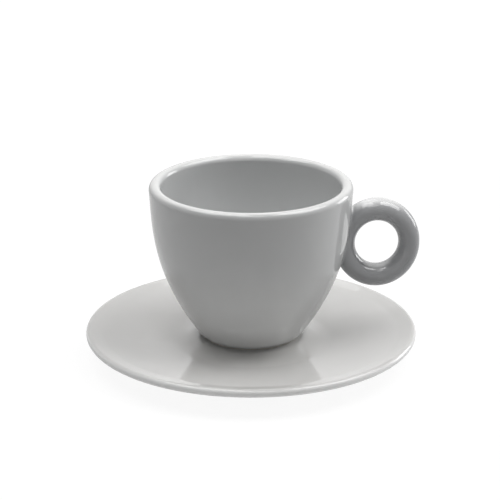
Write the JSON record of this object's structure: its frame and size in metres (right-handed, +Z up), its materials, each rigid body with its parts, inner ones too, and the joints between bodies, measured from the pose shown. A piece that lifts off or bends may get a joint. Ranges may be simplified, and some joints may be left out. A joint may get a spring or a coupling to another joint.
{
  "type": "cup with saucer",
  "caption": "Thick-walled porcelain coffee cup with a tapering bowl and a ring handle, standing loose on the low seat of a round shallow saucer.",
  "frame": {"origin": "on the common axis of cup and saucer, at the surface that the saucer's foot ring stands on", "axes": "+Z up along the axis, +X along the handle, +Y to the left of the handle seen from above with the handle pointing away"},
  "size_m": [0.1492, 0.148, 0.081],
  "materials": {
    "saucer_glaze": "glossy white glaze on porcelain, bare on the foot ring",
    "cup_glaze": "glossy white glaze on porcelain, bare on the foot ring"
  },
  "bodies": {
    "saucer": {"saucer": "saucer_glaze"},
    "cup": {"cup_body": "cup_glaze", "handle": "cup_glaze"}
  },
  "joints": [
    {"name": "cup_lift", "type": "slide", "parent": "saucer", "child": "cup", "axis": [0, 0, 1], "range_m": [0, 0.1]}
  ]
}
